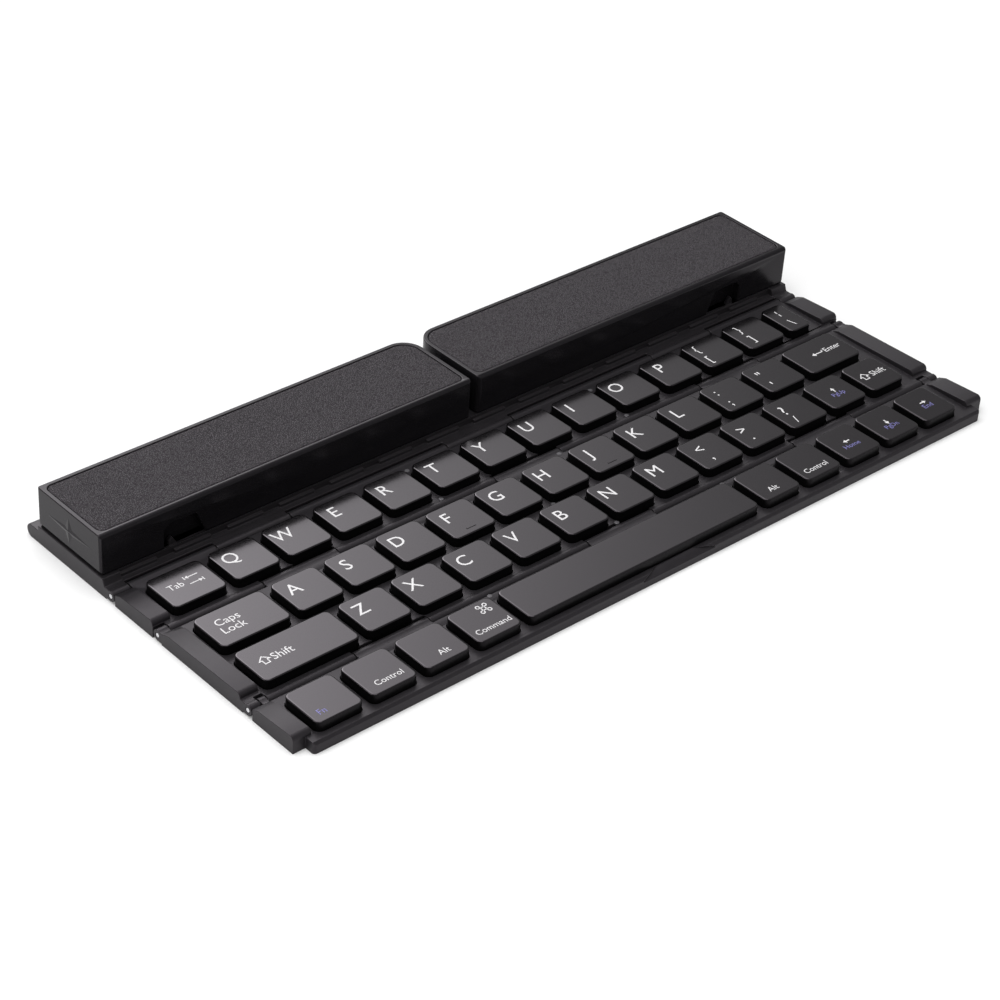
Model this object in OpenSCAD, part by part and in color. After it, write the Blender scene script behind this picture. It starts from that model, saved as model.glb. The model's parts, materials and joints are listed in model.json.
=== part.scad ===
// Roll-up folding keyboard, open on a table.
// A tray carries two swing-out stand arms and a chain of three key strips,
// which roll up round the arms with their keys facing inwards.
// The origin is on the table, under the middle of the open keyboard's outline.
// +X runs along the rows to the right, +Y to the back, +Z up.

/* [Keys] */
// Distance from one letter key to the next
key_pitch = 17; // [16.4:0.1:17.6]
// Gap between two keys of a row
key_gap = 2.7; // [2.4:0.1:3.3]
// Gap between the two rows of the wide strip
row_gap = 3.1; // [2.6:0.1:3.8]
// Depth of every key, front to back
key_d = 13.7; // [12.6:0.1:14.4]
// Corner radius of a key seen from above
key_r = 1.8; // [1.2:0.1:2.6]
// Width of the Tab key
tab_w = 16.5; // [15:0.1:18]
// Width of the narrow key that ends the first row
pipe_w = 8.4; // [7:0.1:9.5]
// Width of the Caps Lock key
caps_w = 21.3; // [19.5:0.1:22.5]
// Width of the left Shift key
shift_w = 29.5; // [27.5:0.1:30.5]
// Width of the paging key beside the right Shift key
page_w = 13.5; // [12.3:0.1:14.4]
// Width of the keys between the space bar and the last key
nav_w = 13.6; // [12.3:0.1:14]
// Height of the key tops above the table
key_top = 6.1; // [5.8:0.1:6.3]
// How far a key travels when it is pressed
key_travel = 1.2; // [0.6:0.1:1.2]
// Wall of a key cap
key_wall = 1.1; // [0.8:0.1:1.4]
// Width and height of the bevel round a key's top
key_bevel = 0.3; // [0.2:0.05:0.5]
// Height of the feeling bars on two home keys
home_bar_h = 0.12; // [0.05:0.01:0.15]
// Length of the feeling bars
home_bar_l = 3.2; // [2:0.1:5]

/* [Strips] */
// Height of the deck that the keys stand in
deck_z = 3.4; // [3:0.1:3.5]
// Height of an end block behind, above its rear ramp
block_low = 4.4; // [4.2:0.1:4.7]
// How far the front end of an end block stays below the key tops
block_drop = 1; // [0.7:0.1:1.3]
// Length of the ramp at an end block's rear
block_ramp = 2.5; // [2:0.1:4]
// Width of the left end blocks
block_left = 5.5; // [4.6:0.1:6.5]
// Width of the right end blocks
block_right = 6.2; // [5.2:0.1:7.5]
// Distance from the left end blocks to the first key
margin_left = 1.5; // [1.2:0.1:2.5]
// Distance from the last key to the right end blocks
margin_right = 5.2; // [3.5:0.1:7]
// Distance from the narrow strip's block noses to its front edge
nose_back_1 = 0.15; // [0.1:0.05:0.8]
// Distance from the wide strip's block noses to its front edge
nose_back_2 = 1.15; // [0.8:0.05:1.8]
// Distance from the front strip's block noses to its front edge
nose_back_3 = 3.3; // [3.1:0.1:4]
// Radius of a block's nose
nose_r = 1.4; // [0.8:0.1:1.8]
// Depth of the bare lip in front of the last row
lip_d = 2.7; // [2.3:0.1:4]
// Gap between the lip's ends and the tray's end noses when rolled up
lip_gap = 0.3; // [0.2:0.1:0.8]
// Height of the bevel along the lip's front edge
lip_bevel = 0.7; // [0.3:0.1:1]
// Length of the thumb recess in the lip along its front edge
thumb_l = 26; // [16:0.5:40]
// Depth of the thumb recess below the deck at the front edge
thumb_h = 1.3; // [1.1:0.1:1.6]
// Thickness of the bottom plates
plate_t = 0.65; // [0.5:0.05:0.7]
// Thickness of the key contact sheets
sheet_t = 0.2; // [0.15:0.05:0.25]
// Height of the well floors above the table
well_z = 1; // [0.95:0.05:1.05]
// Wall between the outer keys' wells and a strip's long edges underneath
deck_wall = 1.1; // [0.9:0.1:1.4]

/* [Hinges] */
// Height of the hinge pins above the table
pin_z = 2; // [1.9:0.05:2.1]
// Radius of the hinge pins
pin_r = 0.65; // [0.5:0.05:0.75]
// Outer radius of the hinge barrels
barrel_r = 1.6; // [1.4:0.05:1.65]
// Length of the short knuckles
knuckle_w = 24; // [18:0.5:30]
// Distance from one short knuckle to the next
knuckle_pitch = 78.4; // [72:0.1:80]
// Place of the middle short knuckle
knuckle_mid = -1.9; // [-4:0.1:2]
// Width of the ears that hold the ends of the two front pins
ear_w = 3.2; // [2.6:0.1:3.6]
// Gap between the ends of two knuckles
knuckle_gap = 0.3; // [0.2:0.05:0.6]
// Gap between a barrel and the strip that turns round it
hinge_gap = 0.25; // [0.2:0.05:0.4]
// Radial clearance of the steel pins
pin_clear = 0.05; // [0.02:0.01:0.09]

/* [Tray] */
// Height of the tray's top, which the arms lie on
tray_top = 5.4; // [5:0.1:6]
// How far the end noses reach behind the arms
nose_d = 5.2; // [4:0.1:5.8]
// Width of the end noses
nose_w = 3.5; // [2.6:0.1:4]
// Height of the end noses
nose_h = 4; // [3.4:0.1:4.2]
// Wall round the tray's two compartments
tray_wall = 1.6; // [1.2:0.1:2.2]
// Floor of the tray
tray_floor = 1; // [0.9:0.1:1.3]
// Thickness of the compartment covers
cover_t = 0.9; // [0.7:0.05:1]
// Length of the battery
battery_l = 58; // [40:1:70]
// Depth of the battery
battery_d = 20; // [14:0.5:21]
// Length of the circuit board
board_l = 70; // [50:1:76]
// Thickness of the circuit board
board_t = 0.8; // [0.6:0.1:1]
// Width of the charging socket
socket_w = 7.6; // [7:0.1:9]
// Height of the charging socket
socket_h = 2.6; // [2.3:0.1:2.8]
// Depth of the charging socket
socket_d = 5; // [4:0.1:7]
// Length of the ribs at the foot of the arms' fronts
rib_l = 11.5; // [8:0.5:13.5]
// Height of the ribs above the deck
rib_h = 1; // [0.5:0.1:1.6]
// How far the ribs stand out
rib_d = 0.8; // [0.4:0.1:1]
// Thickness of the grip strips let into the undersides
grip_t = 0.6; // [0.4:0.05:0.8]
// Depth of the grip strips
grip_d = 3; // [2:0.1:4]

/* [Arms] */
// Gap between the two arms
arm_split = 2.3; // [1.6:0.1:3]
// Gap under the arms
arm_gap = 0.2; // [0.1:0.05:0.4]
// How far an arm's outer end stays inside the tray's end
arm_inset = 0.3; // [0:0.1:0.8]
// Radius of the rear inner corners, about which the arms turn
arm_turn_r = 6.5; // [5:0.1:8]
// Radius of the front inner corners
arm_inner_r = 1.5; // [0.8:0.1:2.5]
// Radius of the outer corners
arm_outer_r = 0.8; // [0.4:0.1:1.5]
// Wall of an arm's case
arm_wall = 1.4; // [1.1:0.1:2]
// Thickness of an arm's underside cover
arm_cover_t = 1.2; // [0.8:0.1:1.6]
// Width of the rim at the ends and rear of an arm's pad
rim_w = 1.4; // [0.9:0.1:2]
// Width of the rim along the front of an arm's pad
rim_front = 1.9; // [1.7:0.1:2.6]
// Radius of an arm's upper front edge
front_roll = 1.2; // [0.6:0.1:1.4]
// Radius of a pad's sharper corners
pad_r = 2; // [1:0.1:3]
// Thickness of the pads
pad_t = 0.9; // [0.6:0.05:1.1]
// Radius of the pivot posts
post_r = 2; // [1.5:0.1:2.6]
// How far a pivot post reaches up into its arm
post_up = 8; // [6:0.5:9]
// Width of the solid end of an arm that holds its pivot
pivot_w = 14; // [12:0.5:18]
// Height of the latch notches in the arms' fronts
notch_h = 7; // [5:0.1:8]
// Width of a latch notch along its top
notch_w = 10.2; // [8:0.1:12]
// Distance from an arm's outer end to its latch notch
notch_x = 19.6; // [10:0.1:24]
// Depth of the latch notches
notch_d = 2.6; // [2.4:0.1:3.2]
// Height of the latch hooks that stand on the tray inside the notches
hook_h = 2.5; // [1.4:0.1:2.8]
// Width of the latch hooks
hook_w = 2.4; // [1.4:0.1:3]
// Length of the four-pointed relief on an arm's outer end
star_l = 20.4; // [14:0.2:23]
// Height of the relief from point to point
star_w = 8.2; // [5:0.2:9]
// How far the middle of the relief stands out
star_h = 0.25; // [0.1:0.05:0.3]
// Bevel at the foot of an arm's outer end
foot_bevel = 0.8; // [0.3:0.1:1.2]

/* [Folding] */
// Space left between the key tops and the arms when rolled up
fold_gap = 0.3; // [0.25:0.05:0.6]
// Space left between a key's rear edge and the keys that fold over it
key_fold_gap = 0.4; // [0.35:0.05:0.8]

/* [Hidden] */
$fn = 48;
eps = 0.01;
part_gap = 0.05;
// How far the key tops stand above the pins, which sets every folding distance
rise = key_top - pin_z;
rear_set = rise + key_fold_gap;
key_clear = 0.2;
// A pressed key stops just above the well floor
key_h = key_top - key_travel - well_z - 0.1;
front_set = barrel_r + key_clear;
edge = barrel_r + hinge_gap;
strip_1_l = rear_set + key_d + front_set;
strip_2_l = rear_set + 2 * key_d + row_gap + front_set;
strip_3_l = rear_set + key_d + lip_d;
row_l = tab_w + key_gap + 12 * key_pitch + pipe_w;
key_w = key_pitch - key_gap;
enter_w = row_l - caps_w - 11 * key_pitch - key_gap;
shift_right_w = row_l - shift_w - page_w - 10 * key_pitch - 2 * key_gap;
space_w = row_l - 4 * key_pitch - 3 * nav_w - page_w - shift_right_w - 5 * key_gap;
// Rows of keys from the left, each key with its name and its width
ROW_1 = [["tab", tab_w], ["q", key_w], ["w", key_w], ["e", key_w], ["r", key_w], ["t", key_w],
    ["y", key_w], ["u", key_w], ["i", key_w], ["o", key_w], ["p", key_w],
    ["left_bracket", key_w], ["right_bracket", key_w], ["backslash", pipe_w]];
ROW_2 = [["caps_lock", caps_w], ["a", key_w], ["s", key_w], ["d", key_w], ["f", key_w],
    ["g", key_w], ["h", key_w], ["j", key_w], ["k", key_w], ["l", key_w],
    ["semicolon", key_w], ["quote", key_w], ["enter", enter_w]];
ROW_3 = [["shift_left", shift_w], ["z", key_w], ["x", key_w], ["c", key_w], ["v", key_w],
    ["b", key_w], ["n", key_w], ["m", key_w], ["comma", key_w], ["period", key_w],
    ["slash", key_w], ["page_up", page_w], ["shift_right", shift_right_w]];
ROW_4 = [["fn", key_w], ["control_left", key_w], ["alt_left", key_w], ["command", key_w],
    ["space", space_w], ["alt_right", nav_w], ["control_right", nav_w], ["home", nav_w],
    ["page_down", page_w], ["end", shift_right_w]];
ROWS = [ROW_1, ROW_2, ROW_3, ROW_4];
// Outline of the whole keyboard
body_l = block_left + margin_left + row_l + margin_right + block_right;
half_l = body_l / 2;
deck_x0 = -half_l + block_left;
deck_x1 = half_l - block_right;
key_x0 = deck_x0 + margin_left;
arm_d = strip_2_l - 2 * rise - 2 * fold_gap;
depth = strip_3_l + strip_2_l + strip_1_l + rise + fold_gap + arm_d + nose_d;
pin_3_y = -depth / 2 + strip_3_l;
pin_2_y = pin_3_y + strip_2_l;
pin_1_y = pin_2_y + strip_1_l;
row_y = [pin_1_y - rear_set, pin_2_y - rear_set, pin_2_y - rear_set - key_d - row_gap,
    pin_3_y - rear_set];
arm_y0 = pin_1_y + rise + fold_gap;
arm_y1 = arm_y0 + arm_d;
arm_z0 = tray_top + arm_gap;
arm_z1 = pin_z + strip_1_l - rise - fold_gap;
arm_l = half_l - arm_inset - arm_split / 2;
pivot_x = arm_split / 2 + arm_turn_r;
pivot_y = arm_y1 - arm_turn_r;
tray_y0 = pin_1_y + edge;
bay_y0 = arm_y0 + tray_wall;
bay_y1 = arm_y1 - tray_wall;
bay_x0 = pivot_x + post_r + tray_wall;
// Rim on which the compartment covers rest
seat = 0.8;
socket_wall = 0.5;
notch_x1 = half_l - arm_inset - notch_x;
notch_x0 = notch_x1 - notch_w;
notch_corner = 1.6;
hook_x = notch_x1 - hook_w - 1.8;
hook_y = arm_y0 + 0.6;
hook_d = 1.2;
thumb_d = 2.2;
// The compartments end beside the latch hooks
bay_l = hook_x - tray_wall - seat - bay_x0;
socket_x = bay_x0 + seat + socket_w;
short_knuckles = [for (i = [-1:1]) let (x = knuckle_mid + i * knuckle_pitch)
    [x - knuckle_w / 2, x + knuckle_w / 2]];
long_knuckles = [[deck_x0, short_knuckles[0][0]],
    [short_knuckles[0][1], short_knuckles[1][0]],
    [short_knuckles[1][1], short_knuckles[2][0]], [short_knuckles[2][1], deck_x1]];
ears = [[-half_l, deck_x0], [deck_x1, half_l]];
narrow_ears = [[-half_l, -half_l + ear_w], [half_l - ear_w, half_l]];
// Knuckles beside the narrow ears, on the front strip
end_knuckles = [[-half_l + ear_w, deck_x0], [deck_x1, half_l - ear_w]];
// The narrow strip's front knuckles reach as far as the narrow ears
wide_knuckles = [[-half_l + ear_w, long_knuckles[0][1]], long_knuckles[1], long_knuckles[2],
    [long_knuckles[3][0], half_l - ear_w]];
KEY_NODES = [for (row = ROWS) for (key = row) str("key_", key[0])];

// Left edge of key n of a row
function key_left(row, n) = n == 0 ? key_x0 : key_left(row, n - 1) + row[n - 1][1] + key_gap;

// Points of an arc in degrees
function arc(c, r, a0, a1, n = 6) = [for (i = [0:n]) let (a = a0 + (a1 - a0) * i / n)
    [c[0] + r * cos(a), c[1] + r * sin(a)]];

// Box given by its low and high corners
module block(low, high) {
    translate(low) cube(high - low);
}

// Rectangle from corner a to corner b with its own radius at each corner,
// in the order front left, front right, rear right, rear left
module panel(a, b, r) {
    corners = [[a[0], a[1], 1, 1], [b[0], a[1], -1, 1], [b[0], b[1], -1, -1], [a[0], b[1], 1, -1]];
    difference() {
        translate(a) square(b - a);
        for (i = [0:3]) if (r[i] > 0) {
            c = corners[i];
            difference() {
                translate([c[0] - eps * c[2], c[1] - eps * c[3]]) scale([c[2], c[3]]) square(r[i] + eps);
                translate([c[0] + r[i] * c[2], c[1] + r[i] * c[3]]) circle(r[i]);
            }
        }
    }
}

// Extrudes a side profile, drawn as y and z, along X from x0 to x1
module side(x0, x1) {
    translate([x0, 0, 0]) rotate([90, 0, 90]) linear_extrude(x1 - x0) children();
}

// Cylinder along X
module rod(x0, x1, y, z, r) {
    translate([x0, y, z]) rotate([0, 90, 0]) cylinder(r = r, h = x1 - x0);
}

// Knuckles on a pin at y, joined to the strip on the side dir
module knuckles(spans, y, dir) {
    for (s = spans) {
        x0 = s[0] + (s[0] > -half_l ? knuckle_gap / 2 : 0);
        x1 = s[1] - (s[1] < half_l ? knuckle_gap / 2 : 0);
        rod(x0, x1, y, pin_z, barrel_r);
        side(x0, x1) polygon([[y, pin_z - barrel_r], [y + dir * (edge + eps), pin_z - barrel_r],
            [y + dir * (edge + eps), deck_z], [y, deck_z]]);
    }
}

// Bore for a hinge pin
module pin_bore(y) {
    rod(-half_l - 1, half_l + 1, y, pin_z, pin_r + pin_clear);
}

// Steel hinge pin, its ends just inside the end faces
module hinge_pin(y) {
    rod(-half_l + part_gap, half_l - part_gap, y, pin_z, pin_r);
}

// Raised block at a strip's end, with a ramp behind and a rounded nose
module end_block(x0, x1, rear, nose) {
    top = key_top - block_drop;
    side(x0, x1) polygon(concat([[rear, 0], [rear, deck_z], [rear - block_ramp, block_low]],
        arc([nose + nose_r, top - nose_r], nose_r, 90, 180), [[nose, 0]]));
}

// Wells of one row of keys
module wells(n) {
    row = ROWS[n];
    for (i = [0:len(row) - 1]) {
        x = key_left(row, i);
        translate([0, 0, well_z]) linear_extrude(deck_z)
            panel([x - key_clear, row_y[n] - key_d - key_clear],
                [x + row[i][1] + key_clear, row_y[n] + key_clear],
                [key_r, key_r, key_r, key_r] + key_clear * [1, 1, 1, 1]);
    }
}

// Recess under the wells for the contact sheet and the bottom plate
function under_x() = [key_x0 - key_clear, key_x0 + row_l + key_clear];
module under_recess(y0, y1, gap, z0, z1) {
    block([under_x()[0] + gap, y0 + gap, z0], [under_x()[1] - gap, y1 - gap, z1]);
}

// Deck and end blocks of a strip between its rear and front edges
module strip_frame(rear, front, nose_back) {
    block([deck_x0 - eps, front, 0], [deck_x1 + eps, rear, deck_z]);
    for (e = ears) end_block(e[0], e[1], rear, front + nose_back);
    block([-half_l, front, 0], [half_l, front + nose_back + eps, deck_z]);
}

// Contact sheet and bottom plate of a strip
module strip_underside(y0, y1) {
    color("dimgray") under_recess(y0, y1, part_gap, plate_t + part_gap, plate_t + part_gap + sheet_t);
    color("darkslategray") under_recess(y0, y1, part_gap, 0, plate_t);
}

module strip_1() {
    y1 = pin_1_y - rear_set;
    y0 = pin_2_y + edge + deck_wall;
    color([0.16, 0.16, 0.17]) difference() {
        union() {
            strip_frame(pin_1_y - edge, pin_2_y + edge, nose_back_1);
            knuckles(long_knuckles, pin_1_y, -1);
            knuckles(wide_knuckles, pin_2_y, 1);
        }
        pin_bore(pin_1_y);
        pin_bore(pin_2_y);
        wells(0);
        under_recess(y0, y1, 0, -1, well_z);
    }
    strip_underside(y0, y1);
}

module strip_2() {
    y1 = pin_2_y - rear_set;
    y0 = pin_3_y + edge + deck_wall;
    color([0.16, 0.16, 0.17]) difference() {
        union() {
            strip_frame(pin_2_y - edge, pin_3_y + edge, nose_back_2);
            knuckles(concat(narrow_ears, short_knuckles), pin_2_y, -1);
            knuckles(concat(narrow_ears, long_knuckles), pin_3_y, 1);
        }
        pin_bore(pin_2_y);
        pin_bore(pin_3_y);
        wells(1);
        wells(2);
        under_recess(y0, y1, 0, -1, well_z);
    }
    strip_underside(y0, y1);
    color("silver") hinge_pin(pin_2_y);
    color("silver") hinge_pin(pin_3_y);
}

module strip_3() {
    y1 = pin_3_y - rear_set;
    front = pin_3_y - strip_3_l;
    y0 = front + lip_d + deck_wall;
    lip_x = half_l - nose_w - lip_gap;
    color([0.16, 0.16, 0.17]) difference() {
        union() {
            strip_frame(pin_3_y - edge, front + nose_back_3, 0);
            knuckles(concat(end_knuckles, short_knuckles), pin_3_y, -1);
            linear_extrude(deck_z) panel([-lip_x, front], [lip_x, front + nose_back_3 + eps], [1, 1, 0, 0]);
        }
        pin_bore(pin_3_y);
        wells(3);
        under_recess(y0, y1, 0, -1, well_z);
        side(-half_l, half_l) polygon([[front - eps, deck_z - lip_bevel], [front + lip_bevel, deck_z + eps],
            [front - eps, deck_z + eps]]);
        thumb_recess(front);
    }
    strip_underside(y0, y1);
}

// Sloping recess with slanted ends in the middle of the lip, whose front edge is at y
module thumb_recess(y) {
    translate([0, y + thumb_d, deck_z]) rotate([atan2(thumb_h, thumb_d), 0, 0]) linear_extrude(thumb_h + 1)
        polygon([[-thumb_l / 4, 0], [-thumb_l / 2, -thumb_d], [-thumb_l / 2, -2 * thumb_d],
            [thumb_l / 2, -2 * thumb_d], [thumb_l / 2, -thumb_d], [thumb_l / 4, 0]]);
}

// One key cap, hollow underneath
module key_cap(n, i) {
    home_bar_y = 2;
    home_bar_d = 0.5;
    row = ROWS[n];
    x0 = key_left(row, i);
    x1 = x0 + row[i][1];
    y1 = row_y[n];
    y0 = y1 - key_d;
    z0 = key_top - key_h;
    r = [1, 1, 1, 1];
    home = row[i][0] == "f" || row[i][0] == "j";
    color([0.2, 0.2, 0.22]) {
        difference() {
            union() {
                translate([0, 0, z0]) linear_extrude(key_h - key_bevel) panel([x0, y0], [x1, y1], key_r * r);
                translate([0, 0, key_top - key_bevel - eps]) linear_extrude(key_bevel + eps)
                    panel([x0 + key_bevel, y0 + key_bevel], [x1 - key_bevel, y1 - key_bevel],
                        (key_r - key_bevel) * r);
                if (home) block([(x0 + x1 - home_bar_l) / 2, y0 + home_bar_y, key_top - eps],
                    [(x0 + x1 + home_bar_l) / 2, y0 + home_bar_y + home_bar_d, key_top + home_bar_h]);
            }
            block([x0 + key_wall, y0 + key_wall, z0 - 1], [x1 - key_wall, y1 - key_wall, key_top - key_wall]);
        }
    }
}

// Rounded nose at a tray end, in side view
module nose_profile() {
    r = nose_h / 2;
    rear = arm_y1 + nose_d;
    polygon(concat([[arm_y1 - 1, 0]], arc([rear - r, r], r, -90, 90, 10), [[arm_y1 - 1, nose_h]]));
}

// One of the tray's two compartments, on the right if side_dir is 1 and on the left if it is -1
module bay(side_dir, gap, z0, z1, grow = 0) {
    x0 = bay_x0 - grow + gap;
    x1 = bay_x0 + bay_l + grow - gap;
    block([side_dir > 0 ? x0 : -x1, bay_y0 - grow + gap, z0],
        [side_dir > 0 ? x1 : -x0, bay_y1 + grow - gap, z1]);
}

module base_tray() {
    color([0.13, 0.13, 0.14]) difference() {
        union() {
            block([-half_l, arm_y0, 0], [half_l, arm_y1, tray_top]);
            block([-half_l, tray_y0, 0], [half_l, arm_y0 + eps, deck_z]);
            knuckles(concat(ears, short_knuckles), pin_1_y, 1);
            side(-half_l, -half_l + nose_w) nose_profile();
            side(half_l - nose_w, half_l) nose_profile();
            latch_hook();
            mirror([1, 0, 0]) latch_hook();
            for (e = ears) shoulder(e[0], e[1]);
            foot_ribs();
        }
        pin_bore(pin_1_y);
        for (d = [-1, 1]) {
            bay(d, 0, tray_floor, tray_top + 1);
            bay(d, 0, tray_top - cover_t - part_gap, tray_top + 1, seat);
            translate([d * pivot_x, pivot_y, tray_floor]) cylinder(r = post_r + pin_clear, h = tray_top);
        }
        block([socket_x, bay_y1 - eps, tray_floor + part_gap], [socket_x + socket_w, arm_y1 + 1,
            tray_floor + part_gap + socket_h]);
        grip_recess(0, grip_t + part_gap);
    }
    for (d = [-1, 1]) color([0.13, 0.13, 0.14]) bay(d, part_gap, tray_top - cover_t, tray_top, seat);
}

// Small pointed hook that stands in the right arm's latch notch
module latch_hook() {
    foot = tray_top - 1;
    translate([hook_x, hook_y + hook_d, 0]) rotate([90, 0, 0]) linear_extrude(hook_d)
        polygon([[0, foot], [hook_w, foot], [hook_w, tray_top + 0.6 * hook_h],
            [0.6 * hook_w, tray_top + hook_h], [0, tray_top + 0.15 * hook_h]]);
}

// Sloping shoulder in front of an arm's foot, at an end of the tray
module shoulder(x0, x1) {
    front = arm_y0 - tray_y0;
    toe_y = arm_y0 - 0.7 * front;
    side(x0, x1) polygon([[arm_y0 + eps, deck_z - 1], [arm_y0 + eps, tray_top],
        [arm_y0 - 0.4 * front, tray_top], [toe_y, deck_z], [toe_y, deck_z - 1]]);
}

// Row of low ribs at the foot of the arms' fronts
module foot_ribs() {
    start = -1.3;
    for (i = [0:13]) translate([key_x0 + start + i * key_pitch, 0, 0])
        block([0, arm_y0 - rib_d, deck_z - eps], [rib_l, arm_y0 + eps, deck_z + rib_h]);
}

// Two grip strips along the tray's underside
module grip_recess(gap, t) {
    for (y = [arm_y0 + tray_wall, arm_y1 - tray_wall - grip_d]) {
        block([-half_l + nose_w + gap, y + gap, gap > 0 ? 0 : -1],
            [half_l - nose_w - gap, y + grip_d - gap, t]);
    }
}

module tray_electronics() {
    z0 = tray_floor + part_gap;
    mid = (bay_y0 + bay_y1) / 2;
    battery_top = tray_top - cover_t - 5 * part_gap;
    chip_x = bay_x0 + 14;
    chip_w = 6;
    chip_h = 1;
    // Flat battery in the left compartment
    color("silver") block([-bay_x0 - seat - battery_l, mid - battery_d / 2, z0],
        [-bay_x0 - seat, mid + battery_d / 2, battery_top]);
    // Circuit board with its chips and the charging socket in the right one
    color("darkgreen") block([bay_x0 + seat, bay_y0 + seat, z0],
        [bay_x0 + seat + board_l, bay_y1 - socket_d - part_gap, z0 + board_t]);
    color("black") for (i = [0:2]) {
        block([chip_x + i * board_l / 4, mid - chip_w, z0 + board_t - eps],
            [chip_x + i * board_l / 4 + chip_w, mid, z0 + board_t + chip_h]);
    }
    color("silver") difference() {
        block([socket_x + part_gap, bay_y1 - socket_d, z0 + part_gap],
            [socket_x + socket_w - part_gap, arm_y1 - part_gap, z0 + socket_h - part_gap]);
        block([socket_x + socket_wall, bay_y1 - socket_d + socket_wall, z0 + socket_wall],
            [socket_x + socket_w - socket_wall, arm_y1 + 1, z0 + socket_h - socket_wall]);
    }
}

module tray_fittings() {
    color("silver") hinge_pin(pin_1_y);
    color("silver") for (d = [-1, 1]) {
        translate([d * pivot_x, pivot_y, tray_floor + part_gap])
            cylinder(r = post_r, h = arm_z0 + post_up - tray_floor);
    }
    color([0.08, 0.08, 0.08]) grip_recess(part_gap, grip_t);
}

// Outline of the right arm seen from above
module arm_outline() {
    panel([arm_split / 2, arm_y0], [half_l - arm_inset, arm_y1],
        [arm_inner_r, arm_outer_r, arm_outer_r, arm_turn_r]);
}

// Outline of the pad in the right arm's top, made smaller all round by gap
module pad_outline(gap) {
    side_r = pad_r - gap;
    panel([arm_split / 2 + rim_w + gap, arm_y0 + rim_front + gap],
        [half_l - arm_inset - rim_w - gap, arm_y1 - rim_w - gap],
        [side_r, side_r, side_r, arm_turn_r - rim_w - gap]);
}

// Cuts the rounding of an arm's upper front edge
module front_round() {
    y = arm_y0 + front_roll;
    side(-eps, half_l) polygon(concat([[arm_y0 - 1, arm_z1 + 1], [arm_y0 - 1, arm_z1 - front_roll]],
        arc([y, arm_z1 - front_roll], front_roll, 180, 90), [[y, arm_z1 + 1]]));
}

// Shallow four-pointed relief on the right arm's outer end
module end_star() {
    foot_x = half_l - arm_inset - 0.1;
    y = (arm_y0 + arm_y1) / 2;
    z = (arm_z0 + arm_z1) / 2;
    inner = 0.16;
    rim = [for (i = [0:7]) let (r = i % 2 == 0 ? 1 : inner)
        [foot_x, y + r * cos(45 * i) * star_l / 2, z + r * sin(45 * i) * star_w / 2]];
    polyhedron(concat(rim, [[foot_x + 0.1 + star_h, y, z], [foot_x - 0.1, y, z]]),
        concat([for (i = [0:7]) [i, (i + 1) % 8, 8]], [for (i = [0:7]) [(i + 1) % 8, i, 9]]));
}

// Latch notch at the foot of an arm's front, its inner side slanted
module notch() {
    top = arm_z0 + notch_h;
    translate([0, arm_y0 + notch_d, 0]) rotate([90, 0, 0]) linear_extrude(notch_d + 1)
        polygon([[notch_x1, arm_z0 - 1], [notch_x1, top - notch_corner], [notch_x1 - notch_corner, top],
            [notch_x0, top], [notch_x0 - notch_h / 2, arm_z0 - 1]]);
}

// Bevel at the foot of the right arm's outer end
module foot_cut() {
    translate([half_l - arm_inset, arm_y1 + 1, arm_z0]) rotate([90, 0, 0]) linear_extrude(arm_d + 2)
        polygon([[-foot_bevel, -eps], [eps, -eps], [eps, foot_bevel]]);
}

// Right arm: its case, hollow and closed by a cover underneath
module arm_case() {
    cover_z = arm_z0 + arm_cover_t;
    hollow_x0 = arm_split / 2 + pivot_w;
    hollow_x1 = half_l - arm_inset - arm_wall;
    lip = arm_wall / 2;
    front = arm_y0 + arm_wall + notch_d;
    color([0.12, 0.12, 0.13]) difference() {
        union() {
            translate([0, 0, arm_z0]) linear_extrude(arm_z1 - arm_z0) arm_outline();
            end_star();
        }
        translate([0, 0, arm_z1 - pad_t - part_gap]) linear_extrude(pad_t + 1) pad_outline(0);
        front_round();
        block([hollow_x0, front, arm_z0 - 1], [hollow_x1, arm_y1 - arm_wall, arm_z1 - pad_t - arm_wall]);
        block([hollow_x0 - lip, front - lip, arm_z0 - 1], [hollow_x1 + lip, arm_y1 - arm_wall + lip,
            cover_z + part_gap]);
        translate([pivot_x, pivot_y, arm_z0 - 1]) cylinder(r = post_r + pin_clear, h = post_up + 2);
        notch();
        foot_cut();
    }
    color([0.12, 0.12, 0.13]) block([hollow_x0 - lip + part_gap, front - lip + part_gap, arm_z0],
        [hollow_x1 + lip - part_gap, arm_y1 - arm_wall + lip - part_gap, cover_z]);
}

module arm_pad() {
    color([0.2, 0.2, 0.21]) translate([0, 0, arm_z1 - pad_t]) linear_extrude(pad_t)
        pad_outline(part_gap);
}

module left_arm_case() {
    mirror([1, 0, 0]) arm_case();
}

module left_arm_pad() {
    mirror([1, 0, 0]) arm_pad();
}

module right_arm_case() {
    arm_case();
}

module right_arm_pad() {
    arm_pad();
}

base_tray();
tray_electronics();
tray_fittings();
left_arm_case();
left_arm_pad();
right_arm_case();
right_arm_pad();
strip_1();
strip_2();
strip_3();
for (n = [0:3]) for (i = [0:len(ROWS[n]) - 1]) {
    key_cap(n, i);
}
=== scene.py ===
"""Roll-up folding keyboard, open on a pale floor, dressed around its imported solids.

Every solid of the frame is shown by a finished piece that rides on the same body:
bevelled shells for the tray, arms and strips, leatherette pads, and lettered keys.
The arms' end reliefs and the decks' small studs are pieces of their own.
"""

import json
import math

import bmesh  # noqa: E402
import bpy  # noqa: E402
from mathutils import Matrix, Vector  # noqa: E402

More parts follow.
